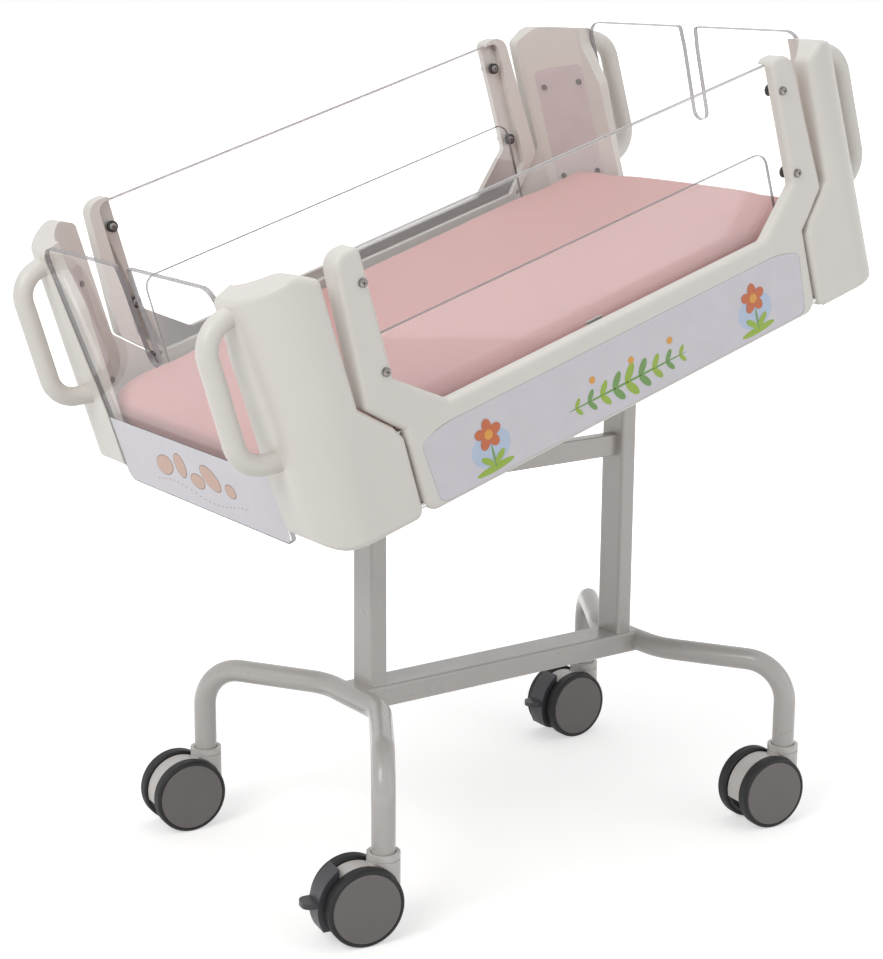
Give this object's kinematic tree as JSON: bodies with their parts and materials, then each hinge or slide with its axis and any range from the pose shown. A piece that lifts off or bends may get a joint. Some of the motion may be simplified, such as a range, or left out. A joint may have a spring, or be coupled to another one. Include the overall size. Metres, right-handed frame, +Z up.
{
  "type": "hospital bassinet",
  "caption": "Tilting newborn crib with clear drop-down sides, rounded corner shells with grab handles and a pink mattress, on a wheeled post-and-leg base.",
  "frame": {"origin": "on the floor under the middle of the base, midway between the posts", "axes": "+X towards the head end, which is raised at rest; +Y towards the far side; +Z up"},
  "size_m": [0.9978, 0.621, 1.0786],
  "materials": {
    "tyre": "matte grey-black thermoplastic tread",
    "hub_plastic": "moulded grey wheel disc",
    "castor_plastic": "light grey moulding",
    "pedal_plastic": "dark grey moulding",
    "steel": "zinc plated",
    "dark_steel": "blackened steel",
    "screw_steel": "stainless heads",
    "frame_paint": "light grey powder coat",
    "rubber": "matte",
    "black_paint": "gloss black",
    "chrome": "polished rod",
    "mattress_cover": "pink wipe-clean cover",
    "deck_plastic": "light grey sheet",
    "shell_plastic": "ivory moulding",
    "cover_plastic": "mauve-grey moulding",
    "clear_acrylic": "clear cast sheet"
  },
  "bodies": {
    "base": {"lower_beam": "frame_paint", "upper_beam": "frame_paint", "foot_post": "frame_paint", "head_post": "frame_paint", "foot_leg": "frame_paint", "head_leg": "frame_paint", "tilt_hinge_bracket": "frame_paint", "tilt_hinge_pin": "steel", "rest_buffer": "rubber", "gas_spring_bracket": "frame_paint", "beam_bolts": "dark_steel"},
    "crib": {"deck_frame": "frame_paint", "mattress_deck": "deck_plastic", "mattress": "mattress_cover", "corner_shell_foot_near": "shell_plastic", "corner_shell_foot_far": "shell_plastic", "corner_shell_head_near": "shell_plastic", "corner_shell_head_far": "shell_plastic", "cover_plates": "cover_plastic", "end_sheet_foot": "clear_acrylic", "end_sheet_head": "clear_acrylic", "low_sheet_near": "clear_acrylic", "low_sheet_far": "clear_acrylic", "crib_screws": "screw_steel", "side_pins": "dark_steel"},
    "gas_cylinder": {"gas_spring_cylinder": "black_paint"},
    "gas_rod": {"gas_spring_rod": "chrome"},
    "release": {"release_shaft": "frame_paint"},
    "side_near": {"side_frame_near": "shell_plastic", "tall_sheet_near": "clear_acrylic", "side_screws_near": "screw_steel"},
    "side_far": {"side_frame_far": "shell_plastic", "tall_sheet_far": "clear_acrylic", "side_screws_far": "screw_steel"},
    "castor_foot_far": {"castor_foot_far_housing": "castor_plastic", "castor_foot_far_axle": "steel"},
    "castor_foot_far_wheel_near": {"castor_foot_far_hub_near": "hub_plastic", "castor_foot_far_tyre_near": "tyre"},
    "castor_foot_far_wheel_far": {"castor_foot_far_hub_far": "hub_plastic", "castor_foot_far_tyre_far": "tyre"},
    "castor_foot_near": {"castor_foot_near_housing": "castor_plastic", "castor_foot_near_axle": "steel"},
    "castor_foot_near_wheel_near": {"castor_foot_near_hub_near": "hub_plastic", "castor_foot_near_tyre_near": "tyre"},
    "castor_foot_near_wheel_far": {"castor_foot_near_hub_far": "hub_plastic", "castor_foot_near_tyre_far": "tyre"},
    "castor_foot_near_pedal": {"castor_foot_near_pedal": "pedal_plastic"},
    "castor_head_far": {"castor_head_far_housing": "castor_plastic", "castor_head_far_axle": "steel"},
    "castor_head_far_wheel_near": {"castor_head_far_hub_near": "hub_plastic", "castor_head_far_tyre_near": "tyre"},
    "castor_head_far_wheel_far": {"castor_head_far_hub_far": "hub_plastic", "castor_head_far_tyre_far": "tyre"},
    "castor_head_far_pedal": {"castor_head_far_pedal": "pedal_plastic"},
    "castor_head_near": {"castor_head_near_housing": "castor_plastic", "castor_head_near_axle": "steel"},
    "castor_head_near_wheel_near": {"castor_head_near_hub_near": "hub_plastic", "castor_head_near_tyre_near": "tyre"},
    "castor_head_near_wheel_far": {"castor_head_near_hub_far": "hub_plastic", "castor_head_near_tyre_far": "tyre"}
  },
  "joints": [
    {"name": "crib_tilt", "type": "hinge", "parent": "base", "child": "crib", "pos_m": [0.208, 0, 0.725], "axis": [0, 1, 0], "range_deg": [0, 17]},
    {"name": "spring_swing", "type": "hinge", "parent": "base", "child": "gas_cylinder", "pos_m": [0.06, 0, 0.545], "axis": [0, 1, 0], "range_deg": [0, 16.67]},
    {"name": "spring_stroke", "type": "slide", "parent": "gas_cylinder", "child": "gas_rod", "axis": [-0.8343, 0, 0.5513], "range_m": [0, 0.06923]},
    {"name": "release_turn", "type": "hinge", "parent": "crib", "child": "release", "pos_m": [-0.13048, 0, 0.62988], "axis": [0, 1, 0], "range_deg": [0, 12], "stiffness_Nm_per_rad": 0.4, "springref_deg": -11.46},
    {"name": "side_near_drop", "type": "hinge", "parent": "crib", "child": "side_near", "pos_m": [-0.03251, -0.3, 0.65147], "axis": [0.9563, 0, 0.2924], "range_deg": [0, 175]},
    {"name": "side_far_drop", "type": "hinge", "parent": "crib", "child": "side_far", "pos_m": [-0.03251, 0.3, 0.65147], "axis": [-0.9563, 0, -0.2924], "range_deg": [0, 175]},
    {"name": "castor_foot_far_swivel", "type": "hinge", "parent": "base", "child": "castor_foot_far", "pos_m": [-0.334, 0.22, 0.09], "axis": [0, 0, 1], "continuous": true},
    {"name": "castor_foot_far_wheel_near_roll", "type": "hinge", "parent": "castor_foot_far", "child": "castor_foot_far_wheel_near", "pos_m": [-0.36881, 0.22366, 0.05], "axis": [0.1045, 0.9945, 0], "continuous": true},
    {"name": "castor_foot_far_wheel_far_roll", "type": "hinge", "parent": "castor_foot_far", "child": "castor_foot_far_wheel_far", "pos_m": [-0.36881, 0.22366, 0.05], "axis": [0.1045, 0.9945, 0], "continuous": true},
    {"name": "castor_foot_near_swivel", "type": "hinge", "parent": "base", "child": "castor_foot_near", "pos_m": [-0.334, -0.22, 0.09], "axis": [0, 0, 1], "continuous": true},
    {"name": "castor_foot_near_wheel_near_roll", "type": "hinge", "parent": "castor_foot_near", "child": "castor_foot_near_wheel_near", "pos_m": [-0.36847, -0.21392, 0.05], "axis": [0.1736, 0.9848, 0], "continuous": true},
    {"name": "castor_foot_near_wheel_far_roll", "type": "hinge", "parent": "castor_foot_near", "child": "castor_foot_near_wheel_far", "pos_m": [-0.36847, -0.21392, 0.05], "axis": [0.1736, 0.9848, 0], "continuous": true},
    {"name": "castor_foot_near_brake", "type": "hinge", "parent": "castor_foot_near", "child": "castor_foot_near_pedal", "pos_m": [-0.36847, -0.21392, 0.05], "axis": [-0.1736, -0.9848, 0], "range_deg": [0, 12]},
    {"name": "castor_head_far_swivel", "type": "hinge", "parent": "base", "child": "castor_head_far", "pos_m": [0.334, 0.22, 0.09], "axis": [0, 0, 1], "continuous": true},
    {"name": "castor_head_far_wheel_near_roll", "type": "hinge", "parent": "castor_head_far", "child": "castor_head_far_wheel_near", "pos_m": [0.299, 0.22, 0.05], "axis": [0, 1, 0], "continuous": true},
    {"name": "castor_head_far_wheel_far_roll", "type": "hinge", "parent": "castor_head_far", "child": "castor_head_far_wheel_far", "pos_m": [0.299, 0.22, 0.05], "axis": [0, 1, 0], "continuous": true},
    {"name": "castor_head_far_brake", "type": "hinge", "parent": "castor_head_far", "child": "castor_head_far_pedal", "pos_m": [0.299, 0.22, 0.05], "axis": [0, -1, 0], "range_deg": [0, 12]},
    {"name": "castor_head_near_swivel", "type": "hinge", "parent": "base", "child": "castor_head_near", "pos_m": [0.334, -0.22, 0.09], "axis": [0, 0, 1], "continuous": true},
    {"name": "castor_head_near_wheel_near_roll", "type": "hinge", "parent": "castor_head_near", "child": "castor_head_near_wheel_near", "pos_m": [0.29926, -0.21574, 0.05], "axis": [0.1219, 0.9925, 0], "continuous": true},
    {"name": "castor_head_near_wheel_far_roll", "type": "hinge", "parent": "castor_head_near", "child": "castor_head_near_wheel_far", "pos_m": [0.29926, -0.21574, 0.05], "axis": [0.1219, 0.9925, 0], "continuous": true}
  ],
  "couplings": [
    {"joint": "spring_swing", "follows": "crib_tilt", "ratio": 0.98},
    {"joint": "spring_stroke", "follows": "crib_tilt", "m_per_rad": 0.233}
  ]
}
